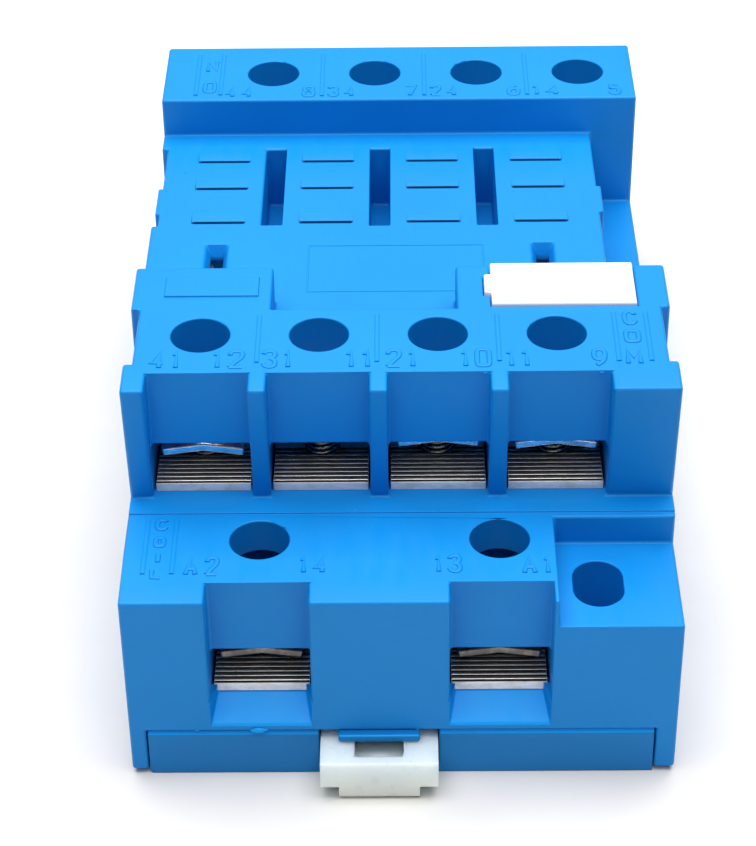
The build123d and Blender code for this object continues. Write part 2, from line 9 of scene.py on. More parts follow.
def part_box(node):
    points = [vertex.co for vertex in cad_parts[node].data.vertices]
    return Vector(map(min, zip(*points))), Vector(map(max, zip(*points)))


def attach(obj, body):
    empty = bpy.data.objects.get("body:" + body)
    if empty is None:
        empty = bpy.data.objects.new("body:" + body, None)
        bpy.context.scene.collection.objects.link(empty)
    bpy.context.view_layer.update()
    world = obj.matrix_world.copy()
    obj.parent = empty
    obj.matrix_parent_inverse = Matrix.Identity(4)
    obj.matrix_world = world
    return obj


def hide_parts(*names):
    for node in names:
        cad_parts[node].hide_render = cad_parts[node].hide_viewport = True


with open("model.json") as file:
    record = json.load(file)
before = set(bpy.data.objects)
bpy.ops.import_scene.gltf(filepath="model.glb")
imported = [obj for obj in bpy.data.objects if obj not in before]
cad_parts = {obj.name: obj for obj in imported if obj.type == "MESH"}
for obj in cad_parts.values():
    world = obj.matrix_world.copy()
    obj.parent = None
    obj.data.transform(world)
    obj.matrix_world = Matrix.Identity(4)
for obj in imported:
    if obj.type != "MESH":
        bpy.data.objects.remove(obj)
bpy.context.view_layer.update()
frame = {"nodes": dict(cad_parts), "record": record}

bl_info = {
    "name": "Relay Socket Finishes",
    "version": (1, 0, 0),
    "blender": (4, 5, 0),
    "location": "3D View > Sidebar > Relay Socket",
    "description": "Finishes, lettering and studio for the packed relay socket",
    "category": "Object",
}

# A millimetre in metres, which is what the frame is measured in
MM = 0.001
NODES = frame["nodes"]
BODIES = {node: body for body, names in
          frame["record"]["behaviour"]["bodies"].items() for node in names}


# Sizes and colours


class PlasticSettings(bpy.types.PropertyGroup):
    """Colours and grain of the moulded parts"""

    housing_blue: bpy.props.FloatVectorProperty(
        name="Housing blue", description="Colour of the moulded housing",
        subtype="COLOR", size=3, min=0, max=1, default=(0.003, 0.232, 0.66))
    base_blue: bpy.props.FloatVectorProperty(
        name="Base blue", description="Colour of the plate under the housing",
        subtype="COLOR", size=3, min=0, max=1, default=(0.005, 0.195, 0.54))
    clip_milk: bpy.props.FloatVectorProperty(
        name="Clip", description="Colour of the unpigmented rail clip",
        subtype="COLOR", size=3, min=0, max=1, default=(0.80, 0.99, 0.935))
    tag_white: bpy.props.FloatVectorProperty(
        name="Tag", description="Colour of the marker tag",
        subtype="COLOR", size=3, min=0, max=1, default=(0.92, 0.92, 0.90))
    # Painted light: a lighter blue for ledges where the light falls, also used for the crumbs of
    # flash
    painted_light_blue: bpy.props.FloatVectorProperty(
        name="Painted light blue", description="Colour of ledges painted lighter for the light on them, and of crumbs of flash",
        subtype="COLOR", size=3, min=0, max=1, default=(0.006, 0.345, 0.93))
    edge_round: bpy.props.FloatProperty(
        name="Edge rounding", description="Radius of the moulded edges",
        subtype="DISTANCE", unit="LENGTH", min=0, max=0.001, default=0.00028)
    grain: bpy.props.FloatProperty(
        name="Grain", description="Depth of the fine texture left by the mould",
        min=0, max=1, default=0.16)
    slot_ramp: bpy.props.FloatProperty(
        name="Slot ramp", description="Depth of the lead-in beside each blade slot",
        subtype="DISTANCE", unit="LENGTH", min=0, max=0.0013, default=0.00020)


class MetalSettings(bpy.types.PropertyGroup):
    """Plated metal and screw threads"""

    plate_tone: bpy.props.FloatVectorProperty(
        name="Contact plating", description="Colour of the plated contact sheet",
        subtype="COLOR", size=3, min=0, max=1, default=(0.92, 0.90, 0.85))
    steel_tone: bpy.props.FloatVectorProperty(
        name="Screw steel", description="Colour of the terminal screws",
        subtype="COLOR", size=3, min=0, max=1, default=(0.50, 0.51, 0.50))
    clamp_tone: bpy.props.FloatVectorProperty(
        name="Clamp steel", description="Colour of the wire clamps",
        subtype="COLOR", size=3, min=0, max=1, default=(0.86, 0.87, 0.88))
    # Painted shade: the clamp steel darkened, with a brown tint, for the clamps at the coil
    coil_clamp_shade_tone: bpy.props.FloatVectorProperty(
        name="Coil clamp shade", description="Colour of the clamps at the coil, darkened as painted shade",
        subtype="COLOR", size=3, min=0, max=1, default=(0.14, 0.125, 0.115))
    # Painted shade: a near-black colour for grooves and thread roots
    groove_shade_tone: bpy.props.FloatVectorProperty(
        name="Groove shade", description="Colour of the painted shade in grooves and thread roots",
        subtype="COLOR", size=3, min=0, max=1, default=(0.007, 0.008, 0.008))
    thread_pitch: bpy.props.FloatProperty(
        name="Thread pitch", description="Rise of the screw thread in one turn",
        subtype="DISTANCE", unit="LENGTH", min=0.0002, max=0.002, default=0.0005)
    thread_depth: bpy.props.FloatProperty(
        name="Thread depth", description="Depth of the thread groove",
        subtype="DISTANCE", unit="LENGTH", min=0, max=0.0006, default=0.00028)
    shank_radius: bpy.props.FloatProperty(
        name="Shank radius", description="Outer radius of the screw thread",
        subtype="DISTANCE", unit="LENGTH", min=0.0005, max=0.003, default=0.0015)


class MarkSettings(bpy.types.PropertyGroup):
    """Raised lettering and ribs on the decks"""

    relief: bpy.props.FloatProperty(
        name="Relief", description="Height of letters and ribs above the deck",
        subtype="DISTANCE", unit="LENGTH", min=0, max=0.0005, default=0.00010)
    pen_width: bpy.props.FloatProperty(
        name="Pen width", description="Width of the strokes of the letters",
        subtype="DISTANCE", unit="LENGTH", min=0.0001, max=0.001, default=0.00046)
    rib_width: bpy.props.FloatProperty(
        name="Rib width", description="Width of the lines between terminals",
        subtype="DISTANCE", unit="LENGTH", min=0, max=0.001, default=0.00042)


class StageSettings(bpy.types.PropertyGroup):
    """Camera, floor and lights"""

    lens: bpy.props.FloatProperty(
        name="Lens", description="Focal length in millimetres", subtype="DISTANCE_CAMERA",
        min=20, max=300, default=106.44)
    eye: bpy.props.FloatVectorProperty(
        name="Eye", description="Place of the camera", subtype="XYZ", size=3,
        default=(-0.00007, -0.19495, 0.15056))
    pitch: bpy.props.FloatProperty(
        name="Pitch", description="How far the camera looks down", subtype="ANGLE",
        unit="ROTATION", default=0.636)
    yaw: bpy.props.FloatProperty(
        name="Yaw", description="How far the camera turns to the right", subtype="ANGLE",
        unit="ROTATION", default=-0.011)
    roll: bpy.props.FloatProperty(
        name="Roll", description="How far the camera leans", subtype="ANGLE",
        unit="ROTATION", default=0.013)
    floor_tone: bpy.props.FloatVectorProperty(
        name="Floor", description="Colour of the pale floor", subtype="COLOR", size=3,
        min=0, max=1, default=(0.75, 0.742, 0.735))
    key_power: bpy.props.FloatProperty(
        name="Overhead light", description="Power of the soft light above", subtype="POWER",
        unit="POWER", min=0, max=100, default=6.3)
    back_power: bpy.props.FloatProperty(
        name="Rear panel", description="Power of the pale panel behind the socket",
        subtype="POWER", unit="POWER", min=0, max=100, default=1.6)
    fill_power: bpy.props.FloatProperty(
        name="Front fill", description="Power of the weak light from above the camera",
        subtype="POWER", unit="POWER", min=0, max=100, default=1.2)
    sky: bpy.props.FloatProperty(
        name="Room light", description="Strength of the even light from all round",
        min=0, max=3, default=0.10)


# Materials


class Recipe:
    """A material under construction, with short calls for the nodes used here."""

    def __init__(self, name):
        self.material = bpy.data.materials.new(name)
        self.material.use_nodes = True
        self.tree = self.material.node_tree
        self.shader = self.tree.nodes["Principled BSDF"]
        self.place = self.tree.nodes.new("ShaderNodeTexCoord").outputs["Object"]

    def link(self, source, target):
        """Join two sockets."""
        self.tree.links.new(source, target)

    def set(self, **values):
        """Set constants on the shader, with an underscore for each space in their names."""
        for key, value in values.items():
            self.shader.inputs[key.replace("_", " ")].default_value = value

    def speckle(self, scale, detail=4.0, roughness=0.5, stretch=(1, 1, 1)):
        """Cloudy noise in the space of the piece."""
        mapping = self.tree.nodes.new("ShaderNodeMapping")
        mapping.inputs["Scale"].default_value = stretch
        self.link(self.place, mapping.inputs["Vector"])
        node = self.tree.nodes.new("ShaderNodeTexNoise")
        node.inputs["Scale"].default_value = scale
        node.inputs["Detail"].default_value = detail
        node.inputs["Roughness"].default_value = roughness
        self.link(mapping.outputs["Vector"], node.inputs["Vector"])
        return node.outputs["Fac"]

    def span(self, value, low, high, start=0.35, end=0.65):
        """Spread a value from one range over another."""
        node = self.tree.nodes.new("ShaderNodeMapRange")
        node.inputs["From Min"].default_value = start
        node.inputs["From Max"].default_value = end
        node.inputs["To Min"].default_value = low
        node.inputs["To Max"].default_value = high
        self.link(value, node.inputs["Value"])
        return node.outputs["Result"]

    def height(self, low, high):
        """Rise from nought to one between two heights."""
        parts = self.tree.nodes.new("ShaderNodeSeparateXYZ")
        self.link(self.place, parts.inputs["Vector"])
        return self.span(parts.outputs["Z"], 0, 1, low, high)

    def blend(self, fac, first, second):
        """Mix two colours, each of them a constant or a socket."""
        node = self.tree.nodes.new("ShaderNodeMix")
        node.data_type = "RGBA"
        for socket, value in ((node.inputs[6], first), (node.inputs[7], second)):
            if isinstance(value, bpy.types.NodeSocket):
                self.link(value, socket)
            else:
                socket.default_value = (*value, 1)
        self.link(fac, node.inputs[0])
        return node.outputs[2]

    def bump(self, height, strength, depth):
        """Lay a bump over those that are already there."""
        node = self.tree.nodes.new("ShaderNodeBump")
        node.inputs["Strength"].default_value = strength
        node.inputs["Distance"].default_value = depth
        self.link(height, node.inputs["Height"])
        if self.shader.inputs["Normal"].is_linked:
            self.link(self.shader.inputs["Normal"].links[0].from_socket, node.inputs["Normal"])
        self.link(node.outputs["Normal"], self.shader.inputs["Normal"])


def shade(colour, factor):
    """The colour made darker or lighter by a factor."""
    return tuple(min(1.0, c * factor) for c in colour)


def moulded_plastic(name, colour, grain, rough=(0.36, 0.50)):
    """Satin moulded plastic: slow flow tone, fine mould grain and faint rub marks."""
    r = Recipe(name)
    flow = r.span(r.speckle(55, 3), 0, 1, 0.3, 0.7)
    tone = r.blend(flow, shade(colour, 0.95), shade(colour, 1.04))
    dust = r.span(r.speckle(5200, 2, 0.7), 0, 1, 0.68, 0.80)
    tone = r.blend(dust, tone, tuple(0.85 * c + 0.035 for c in colour))
    r.link(tone, r.shader.inputs["Base Color"])
    rub = r.speckle(900, 5, 0.6, (1, 0.25, 1))
    r.link(r.span(rub, *rough), r.shader.inputs["Roughness"])
    r.set(Specular_IOR_Level=0.2, IOR=1.5)
    r.bump(r.speckle(7500, 2, 0.6), grain, 0.00003)
    r.bump(r.speckle(420, 3, 0.5), 0.10, 0.00010)
    return r.material


def milky_plastic(name, colour):
    """Unpigmented plastic that lets light bleed through its edges."""
    r = Recipe(name)
    cloud = r.span(r.speckle(160, 3), 0, 1, 0.3, 0.7)
    upper = r.blend(cloud, shade(colour, 0.97), colour)
    # Towards the bottom the colour is yellower and warmer: painted light at the clip's foot
    lower = (min(1.0, 1.1 * colour[0]), 0.97 * colour[1], 0.82 * colour[2])
    r.link(r.blend(r.height(0.0008, 0.0032), lower, upper), r.shader.inputs["Base Color"])
    r.link(r.span(r.speckle(800, 4), 0.26, 0.32), r.shader.inputs["Roughness"])
    r.set(Subsurface_Weight=0.8, Subsurface_Scale=0.003, Subsurface_Radius=(1.0, 1.0, 0.7),
          IOR=1.5)
    r.bump(r.speckle(2600, 3), 0.04, 0.00003)
    return r.material


def plated_metal(name, tone, rough, stretch=(1, 1, 1), relief=0.22, metallic=1.0):
    """Bright plating with fine drawing lines, small stains and uneven gloss."""
    tint = (0.55, 0.47, 0.33)
    r = Recipe(name)
    lines = r.speckle(2600, 5, 0.65, stretch)
    stain = r.span(r.speckle(700, 5, 0.6), 0, 0.55, 0.48, 0.75)
    base = r.blend(r.span(lines, 0, 1), shade(tone, 0.82), shade(tone, 1.08))
    r.link(r.blend(stain, base, tint), r.shader.inputs["Base Color"])
    r.link(r.span(lines, rough[0], rough[1]), r.shader.inputs["Roughness"])
    r.set(Metallic=metallic)
    r.bump(lines, relief, 0.00002)
    return r.material


def painted_groove_shade(name, tone):
    """Painted shade: near-black metal for the bottom of grooves and threads, standing for the
    shade there.
    """
    r = Recipe(name)
    mottle = r.span(r.speckle(1800, 4, 0.6), 0, 1)
    r.link(r.blend(mottle, shade(tone, 0.5), shade(tone, 1.6)), r.shader.inputs["Base Color"])
    r.link(r.span(r.speckle(900, 3), 0.4, 0.6), r.shader.inputs["Roughness"])
    r.set(Metallic=0.4, Specular_IOR_Level=0.3)
    r.bump(r.speckle(3000, 4), 0.2, 0.00002)
    return r.material


def pale_floor(name, tone):
    """A matte paper sweep with a faint tooth."""
    r = Recipe(name)
    fibre = r.span(r.speckle(180, 4), 0, 1)
    r.link(r.blend(fibre, shade(tone, 0.99), shade(tone, 1.01)), r.shader.inputs["Base Color"])
    r.set(Roughness=0.85, Specular_IOR_Level=0.2)
    r.bump(r.speckle(1500, 4), 0.05, 0.00005)
    return r.material


# Mesh tools


# Vertices closer than this are joined, and facets flatter than this are merged
WELD = 0.012 * MM
FLAT = math.radians(0.6)
# Share of the room beside an edge that its rounding may take, and of that on a crisp edge
ROOM_SHARE = 0.42
CRISP_SHARE = 0.2


def span_inside(loop):
    """How far a face reaches inwards from one of its edges, measured at three points."""
    face, a, b = loop.face, loop.vert.co, loop.link_loop_next.vert.co
    along = (b - a).normalized()
    inward = face.normal.cross(along)
    nearest = 1.0
    for share in (0.08, 0.5, 0.92):
        start = a.lerp(b, share)
        for other in face.loops:
            if other is loop:
                continue
            c, d = other.vert.co - start, other.link_loop_next.vert.co - start
            side_c, side_d = c.dot(along), d.dot(along)
            if (side_c > 0) == (side_d > 0):
                continue
            depth = c.dot(inward) + (d - c).dot(inward) * side_c / (side_c - side_d)
            if depth > 0.000001:
                nearest = min(nearest, depth)
    return nearest


def room_beside(edge):
    """Length of the shortest edge that meets this one."""
    return min(e.calc_length() for v in edge.verts for e in v.link_edges)


def soften(node, name, width, segments=2, angle=28, reshape=None, crisp=None):
    """Copy a CAD node and round its moulded edges, less where there is little room."""
    mesh = bpy.data.meshes.new(name)
    bm = bmesh.new()
    bm.from_mesh(NODES[node].data)
    if reshape:
        reshape(bm)
    bmesh.ops.remove_doubles(bm, verts=bm.verts, dist=WELD)
    bmesh.ops.dissolve_limit(bm, angle_limit=FLAT, verts=bm.verts, edges=bm.edges)
    bmesh.ops.recalc_face_normals(bm, faces=bm.faces)
    weight = bm.edges.layers.float.new("bevel_weight_edge")
    sharp = {e for e in bm.edges
             if len(e.link_faces) == 2 and e.calc_face_angle(0) > math.radians(angle)}
    for edge in sharp:
        room = min(room_beside(edge), *(span_inside(loop) for loop in edge.link_loops))
        edge[weight] = max(0.0, min(1.0, ROOM_SHARE * room / width))
        if crisp and crisp(edge):
            edge[weight] *= CRISP_SHARE
    for face in bm.faces:
        face.smooth = True
    bm.to_mesh(mesh)
    bm.free()
    piece = bpy.data.objects.new(name, mesh)
    bpy.context.scene.collection.objects.link(piece)
    bevel = piece.modifiers.new("round", "BEVEL")
    bevel.width = width
    bevel.segments = segments
    bevel.limit_method = "WEIGHT"
    bevel.use_clamp_overlap = False
    flat = piece.modifiers.new("flat", "WEIGHTED_NORMAL")
    flat.keep_sharp = False
    flat.weight = 100
    cut = piece.modifiers.new("cut", "TRIANGULATE")
    cut.ngon_method = "BEAUTY"
    cut.min_vertices = 5
    cut.keep_custom_normals = True
    settle(piece)
    return piece


def settle(piece):
    """Apply every modifier of a piece."""
    graph = bpy.context.evaluated_depsgraph_get()
    done = bpy.data.meshes.new_from_object(piece.evaluated_get(graph), depsgraph=graph)
    piece.modifiers.clear()
    piece.data = done


def dress(piece, material, node):
    """Give a piece its finish and let it stand for its CAD node."""
    piece.data.materials.clear()
    piece.data.materials.append(material)
    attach(piece, BODIES[node])
    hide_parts(node)
    return piece


def refinish(piece, material, belongs):
    """Give some faces of a piece a finish of their own."""
    piece.data.materials.append(material)
    for face in piece.data.polygons:
        if belongs(face):
            face.material_index = len(piece.data.materials) - 1


def new_piece(name, bm, material, body, smooth=False):
    """Turn a bmesh into a piece that rides on a body."""
    mesh = bpy.data.meshes.new(name)
    for face in bm.faces:
        face.smooth = smooth
    bm.to_mesh(mesh)
    bm.free()
    mesh.materials.append(material)
    piece = bpy.data.objects.new(name, mesh)
    bpy.context.scene.collection.objects.link(piece)
    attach(piece, body)
    return piece


def finish_of(name, make, *args):
    """Fetch a material by name, or make it the first time."""
    return bpy.data.materials.get(name) or make(name, *args)


def plastic_finish(name, setting, factor=1.0):
    """A moulded finish in one of the colours among the settings."""
    plastic = bpy.context.scene.socket_plastic
    colour = shade(tuple(getattr(plastic, setting)), factor)
    return finish_of(name, moulded_plastic, colour, plastic.grain)


def housing_finish():
    """The blue of the housing."""
    return plastic_finish("housing_plastic", "housing_blue")


def painted_light_finish():
    """The lighter blue of ledges, painted light for the light that falls on them, also used for
    the crumbs of flash.
    """
    return plastic_finish("rubbed_plastic", "painted_light_blue")


def groove_shade_finish():
    """The painted shade of grooves and thread roots."""
    return finish_of("groove_metal", painted_groove_shade,
                     tuple(bpy.context.scene.socket_metal.groove_shade_tone))


# Housing, base plate, clip and tag


# Heights of the sunk seat, and of the foot of the ramps beside its blade slots
SEAT = 27.7 * MM
RAMP_FOOT = 26.4 * MM
# Far edges of the three rows of slots, and middles of the four columns
SLOT_ROWS = (3.45 * MM, 9.55 * MM, 14.53 * MM)
SLOT_COLUMNS = (-16.85 * MM, -6.85 * MM, 3.15 * MM, 13.15 * MM)
# Half the length of a slot, its width and its depth, each with a little to spare
SLOT_HALF = 2.6 * MM
SLOT_WIDTH = 0.8 * MM
SLOT_DEPTH = 7 * MM
# The coil terminals' sills: how far forward, and between which heights
SILL_FRONT = -36 * MM
SILL_HEIGHTS = (4.6 * MM, 12 * MM)
SLOPE = 0.3
# The web in the clip's window: ends behind the clip's front, middle, width, height, thickness
WEB_ENDS = (1.2 * MM, 7.3 * MM)
WEB_MIDDLE = -2.0 * MM
WEB_WIDTH = 4.2 * MM
WEB_LEVEL = 2.5 * MM
WEB_THICKNESS = 0.3 * MM
# How far behind its front the upper faces of the base plate take painted light
PAINTED_LIGHT_DEPTH = 1.5 * MM
# Radii of the rounded edges
BASE_ROUND = 0.22 * MM
CLIP_ROUND = 0.4 * MM
WEB_ROUND = 0.05 * MM
TAG_ROUND = 0.1 * MM


def shallow_ramps(bm):
    """Lift the foot of the ramp beside each blade slot, so that the dark slot shows."""
    ramp = bpy.context.scene.socket_plastic.slot_ramp
    for v in bm.verts:
        if abs(v.co.z - RAMP_FOOT) < 0.01 * MM:
            v.co.z = SEAT - ramp


def by_a_slot(point, beyond):
    """Whether a point lies at a blade slot, seen from above."""
    return (any(abs(point.x - column) < SLOT_HALF for column in SLOT_COLUMNS) and
            any(row - SLOT_WIDTH < point.y < row + beyond for row in SLOT_ROWS))


def round_a_slot(edge):
    """Whether an edge lies round a blade slot, where the mould leaves it crisp."""
    middle = (edge.verts[0].co + edge.verts[1].co) / 2
    return SEAT - 0.5 * MM < middle.z < SEAT + 0.01 * MM and by_a_slot(middle, 1.6 * MM)


def inside_a_slot(face):
    """Whether a face lies in a blade slot, below the foot of its ramp."""
    middle = face.center
    return SEAT - SLOT_DEPTH < middle.z < SEAT - 0.16 * MM and by_a_slot(middle, 0.03 * MM)


def on_a_sill(face):
    """Whether a face is part of a sloped sill under a coil terminal."""
    low, high = SILL_HEIGHTS
    return (face.center.y < SILL_FRONT and low < face.center.z < high and
            face.normal.z > SLOPE and face.normal.y < -SLOPE)


class SOCKET_OT_dress_housing(bpy.types.Operator):
    """Round the edges of the housing and give it its blue moulded finish, with painted shade in
    the blade slots and painted light on the sills
    """

    bl_idname = "socket.dress_housing"
    bl_label = "Housing"

    def execute(self, context):
        width = context.scene.socket_plastic.edge_round
        shell = soften("housing", "housing_shell", width, 3, reshape=shallow_ramps,
                       crisp=round_a_slot)
        dress(shell, housing_finish(), "housing")
        # Painted shade: the faces inside the blade slots take the housing blue darkened to 0.55
        refinish(shell, plastic_finish("deep_slot", "housing_blue", 0.55), inside_a_slot)
        # Painted light: the sloped sills under the coil terminals take the lighter blue
        refinish(shell, painted_light_finish(), on_a_sill)
        return {"FINISHED"}


class SOCKET_OT_dress_base_plate(bpy.types.Operator):
    """Round and colour the plate under the housing"""

    bl_idname = "socket.dress_base_plate"
    bl_label = "Base plate"

    def execute(self, context):
        shell = soften("base_plate", "base_shell", BASE_ROUND)
        dress(shell, plastic_finish("base_plastic", "base_blue"), "base_plate")
        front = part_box("base_plate")[0].y
        # Painted light: the upward faces at the front of the base plate take the lighter blue
        refinish(shell, painted_light_finish(),
                 lambda face: face.normal.z > 0.5 and face.center.y < front + PAINTED_LIGHT_DEPTH)
        return {"FINISHED"}


class SOCKET_OT_dress_rail_clip(bpy.types.Operator):
    """Give the sliding rail clip its milky finish"""

    bl_idname = "socket.dress_rail_clip"
    bl_label = "Rail clip"

    def execute(self, context):
        material = finish_of("clip_plastic", milky_plastic,
                             tuple(context.scene.socket_plastic.clip_milk))
        dress(soften("rail_clip", "clip_body", CLIP_ROUND, 3), material, "rail_clip")
        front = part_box("rail_clip")[0].y
        near, far = (front + end for end in WEB_ENDS)
        bm = bmesh.new()
        for v in bmesh.ops.create_cube(bm, size=1)["verts"]:
            v.co = Vector((WEB_MIDDLE + v.co.x * WEB_WIDTH,
                           (near + far) / 2 + v.co.y * (far - near),
                           WEB_LEVEL + v.co.z * WEB_THICKNESS))
        bmesh.ops.bevel(bm, geom=bm.edges[:], offset=WEB_ROUND, segments=2, affect="EDGES")
        new_piece("clip_window_web", bm, material, "rail_clip", True)
        return {"FINISHED"}


class SOCKET_OT_dress_marker_tag(bpy.types.Operator):
    """Give the plain marker tag its white finish"""

    bl_idname = "socket.dress_marker_tag"
    bl_label = "Marker tag"

    def execute(self, context):
        white = tuple(context.scene.socket_plastic.tag_white)
        material = finish_of("tag_plastic", moulded_plastic, white, 0.05, (0.30, 0.42))
        dress(soften("marker_tag", "tag_plate", TAG_ROUND), material, "marker_tag")
        return {"FINISHED"}


# Contacts, clamps and screws


# Radii of the rounded edges
CONTACT_ROUND = 0.04 * MM
CLAMP_ROUND = 0.18 * MM
HEAD_ROUND = 0.25 * MM
# Colour of the outer front edges of the contacts: a painted highlight, near white
EDGE_HIGHLIGHT_TONE = (0.98, 0.97, 0.93)
# Height of a screw's head, and how far the sleeve of its thread reaches up into it
HEAD_HEIGHT = 2.0 * MM
OVERLAP = 0.1 * MM
# Vertices round the thread, and rows of them in one turn
THREAD_SIDES = 32
THREAD_ROWS = 10
# Flat share of the crest and the root of the thread, and the taper at the tip
CREST = 0.12
TIP_LENGTH = 0.6 * MM
TIP_SHARE = 0.55
# Share of the thread's depth from which a face belongs to its root of painted shade
ROOT_SHARE = 0.45


def on_a_groove(face):
    """Whether a face is a flank between the ridges of a contact plate."""
    return 0.4 < face.normal.z < 0.75 and abs(face.normal.x) < 0.1


class SOCKET_OT_dress_contacts(bpy.types.Operator):
    """Break the edges of the folded contacts and plate them"""

    bl_idname = "socket.dress_contacts"
    bl_label = "Contacts"

    def execute(self, context):
        tone = tuple(context.scene.socket_metal.plate_tone)
        material = finish_of("contact_plating", plated_metal, tone, (0.26, 0.42),
                             (0.12, 1.6, 1), 0.15, 0.9)
        cut_edge = finish_of("cut_edge", plated_metal, EDGE_HIGHLIGHT_TONE, (0.4, 0.55),
                             (0.3, 1, 1), 0.1, 0.1)
        for node in sorted(n for n in NODES if "_contact_" in n):
            piece = soften(node, node + "_plated", CONTACT_ROUND, 1)
            dress(piece, material, node)
            # Painted shade: the flanks between the ridges take the near-black groove colour
            refinish(piece, groove_shade_finish(), on_a_groove)
            low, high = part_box(node)
            outer = low.y if low.y + high.y < 0 else high.y
            # Painted highlight: the outer front faces of the contacts take a near-white finish
            refinish(piece, cut_edge, lambda face: abs(face.center.y - outer) < 0.1 * MM)
        return {"FINISHED"}


class SOCKET_OT_dress_clamps(bpy.types.Operator):
    """Round and plate the wire clamps"""

    bl_idname = "socket.dress_clamps"
    bl_label = "Wire clamps"

    def execute(self, context):
        metal = context.scene.socket_metal
        bright = finish_of("clamp_plating", plated_metal, tuple(metal.clamp_tone), (0.2, 0.3),
                           (0.3, 0.3, 1), 0.05)
        # Painted shade: the clamps at the coil take a dark brownish copy of the clamp plating
        coil_shaded = finish_of("coil_clamp_plating", plated_metal, tuple(metal.coil_clamp_shade_tone),
                         (0.24, 0.4), (0.3, 0.3, 1), 0.08)
        for node in sorted(n for n in NODES if "_clamp_" in n):
            material = coil_shaded if node.startswith("coil") else bright
            dress(soften(node, node + "_plated", CLAMP_ROUND, 3, 6), material, node)
        return {"FINISHED"}


def thread_sleeve(bm, x, y, top, bottom, metal):
    """Add a helical thread between two heights, tapering out at its tip."""
    pitch, depth, radius = metal.thread_pitch, metal.thread_depth, metal.shank_radius
    count = int((top - bottom) / pitch * THREAD_ROWS)
    rings = []
    for i in range(count + 1):
        z = top + (bottom - top) * i / count
        tip = min(1.0, (z - bottom) / TIP_LENGTH + TIP_SHARE)
        ring = []
        for k in range(THREAD_SIDES):
            turn = k / THREAD_SIDES
            phase = (z / pitch - turn) % 1.0
            rise = (1 - abs(2 * phase - 1) - CREST) / (1 - 2 * CREST)
            r = tip * (radius - depth * (1 - min(1.0, max(0.0, rise))))
            a = 2 * math.pi * turn
            ring.append(bm.verts.new((x + r * math.cos(a), y + r * math.sin(a), z)))
        rings.append(ring)
    for lower, upper in zip(rings[1:], rings):
        for k in range(THREAD_SIDES):
            j = (k + 1) % THREAD_SIDES
            bm.faces.new((lower[k], lower[j], upper[j], upper[k])).smooth = True
    bm.faces.new(list(reversed(rings[-1])))


class SOCKET_OT_dress_screws(bpy.types.Operator):
    """Cut the thread on each terminal screw and round its head"""

    bl_idname = "socket.dress_screws"
    bl_label = "Terminal screws"

    def execute(self, context):
        metal = context.scene.socket_metal
        material = finish_of("screw_plating", plated_metal, tuple(metal.steel_tone),
                             (0.18, 0.32))
        for node in sorted(n for n in NODES if "_screw_" in n):
            low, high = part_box(node)
            middle = (low + high) / 2
            seat = high.z - HEAD_HEIGHT
            piece = soften(node, node + "_threaded", HEAD_ROUND, 3)
            bm = bmesh.new()
            bm.from_mesh(piece.data)
            shank = [v for v in bm.verts if v.co.z < seat - OVERLAP]
            bmesh.ops.delete(bm, geom=shank, context="VERTS")
            thread_sleeve(bm, middle.x, middle.y, seat + OVERLAP, low.z, metal)
            bm.to_mesh(piece.data)
            bm.free()
            dress(piece, material, node)
            core = metal.shank_radius - metal.thread_depth * ROOT_SHARE
            # Painted shade: the thread roots take the near-black groove colour
            refinish(piece, groove_shade_finish(), lambda face: face.center.z < seat and
                     (face.center.xy - middle.xy).length < core)
        return {"FINISHED"}


# Lettering, ribs and moulding faults


# Heights of the upper decks and of the near lower one, in millimetres
UPPER_DECK = 31.6
LOWER_DECK = 19.05

# Lettering: text, then its left, right, near and far edges in millimetres
DECK_WORDS = [
    ("41", -21.0, -18.4, -26.2, -23.4), ("12", -15.6, -12.9, -26.2, -23.4),
    ("31", -11.6, -9.1, -26.2, -23.4), ("11", -4.6, -2.5, -26.2, -23.4),
    ("21", -1.3, 1.25, -26.2, -23.4), ("10", 5.0, 7.6, -26.2, -23.4),
    ("11", 8.7, 10.7, -26.2, -23.4), ("9", 15.8, 17.2, -26.2, -23.5),
    ("C", 18.75, 20.1, -20.2, -17.9), ("O", 18.7, 20.2, -22.8, -20.8),
    ("M", 18.6, 20.1, -26.0, -23.5),
    ("N", -19.1, -17.8, 24.7, 27.1), ("O", -19.2, -17.8, 20.5, 22.9),
    ("44", -17.0, -14.2, 19.6, 21.9), ("8", -9.5, -8.1, 19.6, 21.9),
    ("34", -7.0, -4.2, 19.6, 21.9), ("7", 0.5, 1.9, 19.6, 21.9),
    ("24", 3.0, 5.8, 19.6, 21.9), ("6", 10.5, 11.9, 19.6, 21.9),
    ("14", 13.0, 15.8, 19.6, 21.9), ("5", 20.4, 21.7, 19.6, 21.9),
    ("C", -20.75, -19.55, -31.9, -30.2), ("O", -20.7, -19.6, -34.1, -32.6),
    ("I", -20.4, -19.9, -36.2, -34.7), ("L", -20.75, -19.6, -38.2, -36.8),
    ("A2", -18.0, -15.0, -37.8, -35.2), ("14", -8.4, -6.1, -37.6, -35.1),
    ("13", 2.7, 5.0, -37.6, -35.1), ("A1", 9.8, 12.2, -37.8, -35.2),
]

# Ribs between the terminals: X, near end and far end in millimetres
DECK_RIBS = [
    (-11.95, -25.3, -18.4), (-1.97, -25.3, -18.4), (8.2, -25.3, -18.4),
    (18.1, -25.4, -18.3), (20.8, -25.4, -18.3),
    (-19.8, 20.1, 28.3), (-17.4, 20.1, 28.3), (-7.5, 19.8, 28.2),
    (2.5, 19.8, 28.2), (12.5, 19.8, 28.2),
    (-21.3, -37.5, -30.5), (-18.9, -37.5, -30.5),
]

# Bare rectangle on the seat: left, right, near and far edges in millimetres
SEAT_FRAME = (-8.3, 7.6, -8.8, -1.2)

# How far ribs reach down into the surface below them
FOOT = 0.1 * MM

